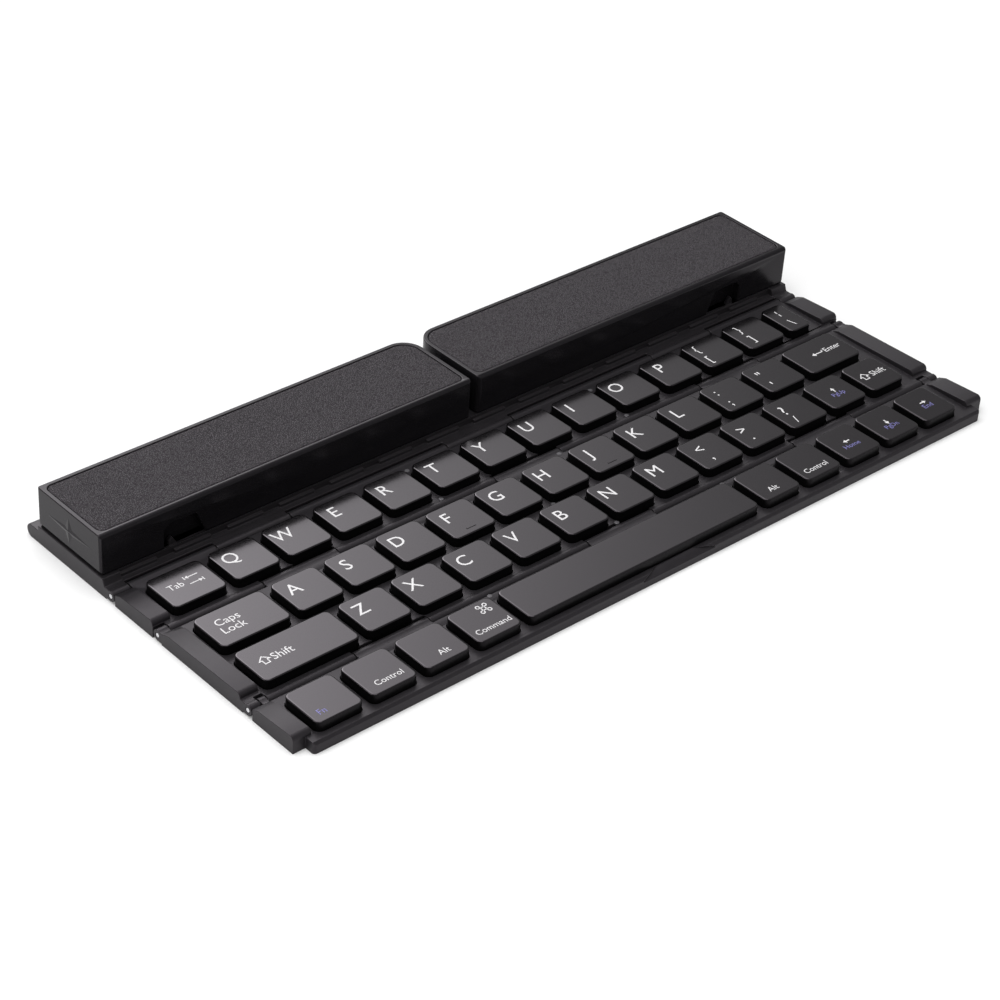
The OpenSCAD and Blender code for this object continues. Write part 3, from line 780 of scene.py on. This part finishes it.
def grown_mesh(tree, values):
    """The plain mesh that a geometry-nodes tree makes with these input values."""
    obj = bpy.data.objects.new("grown", bpy.data.meshes.new("grown"))
    bpy.context.scene.collection.objects.link(obj)
    modifier = obj.modifiers.new("grown", "NODES")
    modifier.node_group = tree
    for item in tree.interface.items_tree:
        if item.in_out == "INPUT" and item.name in values:
            modifier[item.identifier] = values[item.name]
    bpy.context.view_layer.update()
    depsgraph = bpy.context.evaluated_depsgraph_get()
    mesh = bpy.data.meshes.new_from_object(obj.evaluated_get(depsgraph))
    bpy.data.objects.remove(obj)
    return mesh


# ---------------------------------------------------------------- what is printed on the keys

# How thick the print is in mm, and how much of that is sunk in the key
INK = 0.03
INK_SUNK = INK / 3


def flat_solid(bm, height=INK):
    """Gives flat faces, which point up, a printed thickness in mm."""
    bmesh.ops.recalc_face_normals(bm, faces=bm.faces)
    for face in bm.faces:
        if face.normal.z < 0:
            face.normal_flip()
    grown = bmesh.ops.extrude_face_region(bm, geom=list(bm.faces), use_keep_orig=True)
    raised = [v for v in grown["geom"] if isinstance(v, bmesh.types.BMVert)]
    bmesh.ops.translate(bm, verts=raised, vec=(0, 0, height))
    bmesh.ops.recalc_face_normals(bm, faces=bm.faces)
    return bm


def text_mesh(text):
    """Flat lettering of size 1 as a bmesh."""
    curve = bpy.data.curves.new("lettering", "FONT")
    curve.body = text
    curve.size = 1.0
    curve.resolution_u = 3
    obj = bpy.data.objects.new("lettering", curve)
    bpy.context.scene.collection.objects.link(obj)
    bpy.context.view_layer.update()
    mesh = bpy.data.meshes.new_from_object(obj.evaluated_get(bpy.context.evaluated_depsgraph_get()))
    bm = bmesh.new()
    bm.from_mesh(mesh)
    bmesh.ops.remove_doubles(bm, verts=bm.verts, dist=0.0001)
    bpy.data.objects.remove(obj)
    bpy.data.meshes.remove(mesh)
    return bm


def extent(bm):
    """The lowest and highest x, and the lowest and highest y."""
    xs = [v.co.x for v in bm.verts]
    ys = [v.co.y for v in bm.verts]
    return min(xs), max(xs), min(ys), max(ys)


def capital_height():
    """How tall a capital of size 1 is."""
    bm = text_mesh("H")
    _, _, y0, y1 = extent(bm)
    bm.free()
    return y1 - y0


CAPITAL = capital_height()


def lettering(text, height):
    """Lettering whose capitals are height mm tall, from x 0 and its baseline at y 0."""
    bm = text_mesh(text)
    scale = height / CAPITAL
    bmesh.ops.scale(bm, verts=bm.verts, vec=(scale, scale, 1))
    x0 = extent(bm)[0]
    bmesh.ops.translate(bm, verts=bm.verts, vec=(-x0, 0, 0))
    return bm


# The least cosine between a side and its mitre, so that a sharp corner doesn't grow a spike
SHARPEST_MITRE = 0.35


def ribbon(points, width, closed=False):
    """A line of even width through points, with mitred corners."""
    bm = bmesh.new()
    count = len(points)
    sides = []
    for i, p in enumerate(points):
        here = Vector(p)
        before = Vector(points[i - 1]) if closed or i > 0 else None
        after = Vector(points[(i + 1) % count]) if closed or i < count - 1 else None
        a = (here - before).normalized() if before else (after - here).normalized()
        b = (after - here).normalized() if after else a
        n = Vector((-(a + b).y, (a + b).x)).normalized()
        reach = width / 2 / max(n.dot(Vector((-a.y, a.x))), SHARPEST_MITRE)
        sides.append([bm.verts.new((*(here + n * s * reach), 0)) for s in (1, -1)])
    for i in range(count if closed else count - 1):
        (a, b), (c, d) = sides[i], sides[(i + 1) % count]
        bm.faces.new((a, b, d, c))
    return bm


def filled(points):
    """A flat filled outline."""
    bm = bmesh.new()
    bm.faces.new([bm.verts.new((x, y, 0)) for x, y in points])
    return bm


# Half the width of an arrow's head to its length
HEAD_SPREAD = 0.66


def arrow(dx, dy, length, head=1.0, line=0.34):
    """A plain arrow of that length along dx, dy, centred on the origin."""
    tip = Vector((dx, dy)) * length / 2
    neck = tip - Vector((dx, dy)) * head
    across = Vector((-dy, dx)) * head * HEAD_SPREAD
    shaft = ribbon([-tip, neck], line)
    return merged([shaft, filled([neck - across, tip, neck + across])])


def shift_arrow(height=2.9, line=0.3):
    """The hollow upward arrow of the Shift keys, centred on the origin."""
    half, wing, stem = height / 2, height * 0.54, height * 0.26
    shoulder = half - height * 0.52
    rim = [
        (-stem, -half),
        (stem, -half),
        (stem, shoulder),
        (wing, shoulder),
        (0, half),
        (-wing, shoulder),
        (-stem, shoulder),
    ]
    return ribbon(rim, line, closed=True)


def looped_square(size=3.3, line=0.3):
    """A square whose sides cross and run on into a round loop at each corner."""
    loop = size * 0.16
    middle = size / 2 - loop
    steps = 12
    points = []
    for corner in range(4):
        turn = math.radians(-90 * corner)
        c, s = math.cos(turn), math.sin(turn)
        for i in range(steps + 1):
            a = math.radians(-90 + 270 * i / steps)
            x, y = middle + loop * math.cos(a), middle + loop * math.sin(a)
            points.append((x * c - y * s, x * s + y * c))
    return ribbon(points, line, closed=True)


def broken_bar(height=3.0, line=0.34, gap=0.28):
    """Two short strokes one above the other, from the baseline up."""
    lower = ribbon([(0, 0), (0, height / 2 - gap)], line)
    upper = ribbon([(0, height / 2 + gap), (0, height)], line)
    return merged([lower, upper])


def tab_arrows(length=3.9, apart=1.35, reach=2.1, bar=0.65):
    """Two arrows against end bars, one above the other."""
    parts = []
    for y, dx in ((apart, -1), (-apart, 1)):
        one = arrow(dx, 0, length, head=0.95, line=0.3)
        bmesh.ops.translate(one, verts=one.verts, vec=(-dx * 0.1, y, 0))
        parts += [one, ribbon([(dx * reach, y - bar), (dx * reach, y + bar)], 0.28)]
    return merged(parts)


def enter_arrow(length=4.4, tail_x=2.1, tail_up=0.75):
    """A left arrow whose tail turns up."""
    tail = ribbon([(tail_x, -0.1), (tail_x, tail_up)], 0.34)
    return merged([arrow(-1, 0, length, head=1.2, line=0.36), tail])


# The keys with a feeling bar, how much lower their tops are, and the bar's sides, its place
# from the key's front left corner, how high its middle stands over the top and how wide
# its top edges are rounded, in mm
HOME_KEYS = ("f", "j")
HOME_SINK = 0.12
HOME_BAR = (3.2, 0.5, 0.16)
HOME_BAR_AT = (6.9, 2.25)
HOME_BAR_UP = 0.04
HOME_BAR_ROLL = 0.08


def home_bar(x, y, z):
    """The small feeling bar of a home key, rounded along its top."""
    bm = bmesh.new()
    bmesh.ops.create_cube(bm, size=1)
    bmesh.ops.scale(bm, verts=bm.verts, vec=HOME_BAR)
    bmesh.ops.translate(bm, verts=bm.verts, vec=(x, y, z + HOME_BAR_UP))
    top = [e for e in bm.edges if all(v.co.z > z for v in e.verts)]
    bmesh.ops.bevel(bm, geom=top, offset=HOME_BAR_ROLL, segments=2, affect="EDGES")
    return bm


# A letter key's letter: its height, its middle and its baseline
LETTER_H = 4.15
LETTER_X = 4.15
LETTER_Y = -6.95
LETTER_SHIFT = {"p": 0.7, "k": 0.5, "m": 0.5, "i": -0.8, "h": -0.4, "j": -0.5}
# The head and the line of a printed arrow
ARROW_HEAD = 1.1
ARROW_LINE = 0.4
# What is printed on each other key: the shape, the text or the way that an arrow points, the
# height of its capitals or the arrow's length, its middle and baseline or the middle of the
# shape in mm from the key's rear left corner, and its colour where it isn't white
LEGENDS = {
    "tab": [("Tab", 2.1, 5.3, -7.35), (tab_arrows, 0, 10.9, -6.3)],
    "left_bracket": [("{", 3.1, 3.3, -5.4), ("[", 3.1, 3.0, -11.2)],
    "right_bracket": [("}", 3.1, 4.3, -5.0), ("]", 3.1, 4.2, -10.6)],
    "backslash": [(broken_bar, 0, 3.8, -5.6), ("\\", 3.1, 3.9, -11.2)],
    "caps_lock": [("Caps", 2.5, 7.4, -6.1), ("Lock", 2.5, 7.1, -9.5)],
    "semicolon": [(":", 3.2, 3.5, -5.4), (";", 3.2, 3.4, -11.4)],
    "quote": [('"', 3.6, 3.7, -6.9), ("'", 3.6, 3.4, -12.8)],
    "enter": [(enter_arrow, 0, 9.2, -6.6), ("Enter", 2.0, 15.2, -7.5)],
    "shift_left": [(shift_arrow, 0, 4.9, -6.6), ("Shift", 2.5, 10.2, -8.0)],
    "comma": [("<", 3.5, 5.0, -6.5), (",", 3.6, 5.2, -10.6)],
    "period": [(">", 3.5, 4.4, -6.8), (".", 3.6, 4.4, -10.4)],
    "slash": [("?", 4.0, 4.2, -7.2), ("/", 3.0, 4.1, -11.7)],
    "page_up": [((0, 1), 2.2, 6.9, -6.1), ("PgUp", 1.55, 6.9, -9.0, "violet")],
    "shift_right": [(shift_arrow, 0, 3.5, -6.7), ("Shift", 2.2, 8.8, -7.9)],
    "fn": [("Fn", 1.9, 3.8, -11.2, "violet")],
    "control_left": [("Control", 1.85, 7.6, -11.0)],
    "alt_left": [("Alt", 1.95, 8.0, -11.2)],
    "command": [(looped_square, 0, 10.1, -3.3), ("Command", 1.85, 7.4, -11.0)],
    "alt_right": [("Alt", 1.95, 5.8, -11.1)],
    "control_right": [("Control", 1.85, 6.4, -11.1)],
    "home": [((-1, 0), 2.4, 6.5, -6.5), ("Home", 1.65, 6.5, -9.5, "violet")],
    "page_down": [((0, -1), 2.2, 6.8, -6.7), ("PgDn", 1.65, 6.8, -9.5, "violet")],
    "end": [((1, 0), 2.4, 6.8, -6.0), ("End", 1.75, 6.8, -8.8, "violet")],
}


def legends_of(name):
    """The rows of LEGENDS for a key, or its letter."""
    if name in LEGENDS:
        return LEGENDS[name]
    if len(name) == 1:
        return [(name.upper(), LETTER_H, LETTER_X + LETTER_SHIFT.get(name, 0), LETTER_Y)]
    return []


def printed(row):
    """One legend as a flat mesh, at its place from the key's rear left corner."""
    what, height, x, y = row[:4]
    if callable(what):
        bm = what()
    elif isinstance(what, tuple):
        bm = arrow(*what, height, ARROW_HEAD, ARROW_LINE)
    else:
        bm = lettering(what, height)
        x0, x1, _, _ = extent(bm)
        x -= (x0 + x1) / 2
    bmesh.ops.translate(bm, verts=bm.verts, vec=(x, y, 0))
    return flat_solid(bm)


def make_key(node, tree):
    """One lettered key cap in the place of its node."""
    low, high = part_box(node)
    name = node[len("key_") :]
    top = high.z / MM
    if name in HOME_KEYS:
        top -= HOME_SINK
    size = {
        "Width": high.x - low.x,
        "Depth": high.y - low.y,
        "Height": top * MM - low.z,
        "Corner radius": KEY_CORNER * MM,
        "Edge radius": KEY_ROLL * MM,
    }
    bm = bmesh.new()
    cap = grown_mesh(tree, size)
    order = [m.name if m else FINISH["key_side"].name for m in cap.materials]
    bm.from_mesh(cap)
    bpy.data.meshes.remove(cap)
    middle = Vector(((low.x + high.x) / 2, (low.y + high.y) / 2, low.z))
    bmesh.ops.translate(bm, verts=bm.verts, vec=middle)
    finishes = ["key_side", "key_top", "white", "violet"]
    names = [FINISH[f].name for f in finishes]
    for face in bm.faces:
        face.material_index = names.index(order[face.material_index])

    def place(part, finish):
        mesh = bpy.data.meshes.new("part")
        for face in part.faces:
            face.material_index = finishes.index(finish)
        part.to_mesh(mesh)
        part.free()
        mesh.transform(Matrix.Scale(MM, 4))
        bm.from_mesh(mesh)
        bpy.data.meshes.remove(mesh)

    for row in legends_of(name):
        part = printed(row)
        corner = (low.x / MM, high.y / MM, top - INK_SUNK)
        bmesh.ops.translate(part, verts=part.verts, vec=corner)
        place(part, row[4] if len(row) > 4 else "white")
    if name in HOME_KEYS:
        bar_x, bar_y = HOME_BAR_AT
        place(home_bar(low.x / MM + bar_x, low.y / MM + bar_y, top), "key_top")
    piece(f"cap_{name}", bm, finishes, node)


def make_keys():
    """Every key of the frame."""
    tree = key_cap_tree()
    for node in sorted(frame["nodes"]):
        if node.startswith("key_"):
            make_key(node, tree)


# ---------------------------------------------------------------- floor, world and lamps

# Half the floor's side in metres, and how far under the object it lies in mm
FLOOR_HALF = 6
FLOOR_BELOW = 0.02
FLOOR_COLOUR = (0.8, 0.8, 0.8, 1)
# How much the floor shines by itself under the object, and far from it where the lamps fade,
# and between which distances in metres that changes
FLOOR_GLOW = 0.12
FAR_GLOW = 0.54
GLOW_FROM = 0.3
GLOW_TO = 1.6


def seen_directly(tree):
    """Whether the camera sees this, also through glass, and the light path's outputs."""
    seen = add(tree, "ShaderNodeLightPath").outputs
    return number(tree, "MAXIMUM", seen["Is Camera Ray"], seen["Is Transmission Ray"]), seen


def make_floor():
    """A pale floor that keeps the object's shadow and ends in the white of the world."""
    bm = bmesh.new()
    bmesh.ops.create_grid(bm, x_segments=1, y_segments=1, size=FLOOR_HALF)
    mesh = bpy.data.meshes.new("floor")
    bm.to_mesh(mesh)
    bm.free()
    floor = bpy.data.objects.new("floor", mesh)
    floor.location = (0, 0, cad_low.z - FLOOR_BELOW * MM)
    bpy.context.scene.collection.objects.link(floor)
    material = bpy.data.materials.new("pale_floor")
    material.use_nodes = True
    tree = material.node_tree
    tree.nodes.clear()
    shown, _ = seen_directly(tree)
    place = tree.nodes.new("ShaderNodeTexCoord").outputs["Object"]
    away = add(tree, "ShaderNodeVectorMath", {0: place}, operation="LENGTH").outputs["Value"]
    glowing = ranged(tree, away, FLOOR_GLOW, FAR_GLOW, GLOW_FROM, GLOW_TO)
    strength = number(tree, "MULTIPLY", shown, glowing)
    lit = add(tree, "ShaderNodeBsdfDiffuse", {"Color": FLOOR_COLOUR}).outputs[0]
    glow = add(tree, "ShaderNodeEmission", {"Color": (1, 1, 1, 1), "Strength": strength}).outputs[0]
    both = add(tree, "ShaderNodeAddShader", {0: lit, 1: glow}).outputs[0]
    out = tree.nodes.new("ShaderNodeOutputMaterial")
    tree.links.new(both, out.inputs["Surface"])
    mesh.materials.append(material)


WORLD_LIGHT = 0.6
# What the world shows in reflections: dim all round, bright behind on the right, within
# the directions whose cosine to its middle is past the edge, and falling off by a power
WORLD_DIM = 0.36
WORLD_BRIGHT = 7.5
BRIGHT_TOWARDS = (0.198, 0.74, 0.643)
BRIGHT_EDGE = 0.8
BRIGHT_FALL = 3.25


def make_world():
    """White to the camera, a soft even light, and a bright side in reflections."""
    world = bpy.data.worlds.new("studio")
    bpy.context.scene.world = world
    world.use_nodes = True
    tree = world.node_tree
    back = tree.nodes["Background"]
    back.inputs["Color"].default_value = (1, 1, 1, 1)
    towards = tree.nodes.new("ShaderNodeTexCoord").outputs["Generated"]
    sides = {0: towards, 1: Vector(BRIGHT_TOWARDS).normalized()}
    aim = add(tree, "ShaderNodeVectorMath", sides, operation="DOT_PRODUCT").outputs["Value"]
    falling = number(tree, "POWER", ranged(tree, aim, 0.0, 1.0, BRIGHT_EDGE), BRIGHT_FALL)
    mirrored = number(tree, "MULTIPLY_ADD", falling, WORLD_BRIGHT, WORLD_DIM)
    shown, seen = seen_directly(tree)
    unseen = ranged(tree, seen["Is Glossy Ray"], WORLD_LIGHT, mirrored)
    tree.links.new(ranged(tree, shown, unseen, 1.0), back.inputs["Strength"])


# Each soft lamp: where it stands and its sides, in metres, and its power in watts
LAMPS = {
    "softbox_above": ((-0.15, 0.1, 1.2), (1.0, 1.0), 10.5),
    "softbox_left": ((-1.0, 0.25, 0.55), (0.7, 0.5), 3.0),
}


def make_lamps():
    """The soft lamps, all aimed at the middle of the object's foot."""
    for name, (at, sides, power) in LAMPS.items():
        data = bpy.data.lights.new(name, "AREA")
        data.shape = "RECTANGLE"
        data.size, data.size_y = sides
        data.energy = power
        lamp = bpy.data.objects.new(name, data)
        lamp.location = at
        lamp.rotation_mode = "QUATERNION"
        lamp.rotation_quaternion = (-Vector(at)).to_track_quat("-Z", "Y")
        bpy.context.scene.collection.objects.link(lamp)


bpy.context.scene.view_settings.view_transform = "Standard"
place_camera()
make_tray()
make_arms()
make_strips()
make_keys()
make_floor()
make_world()
make_lamps()
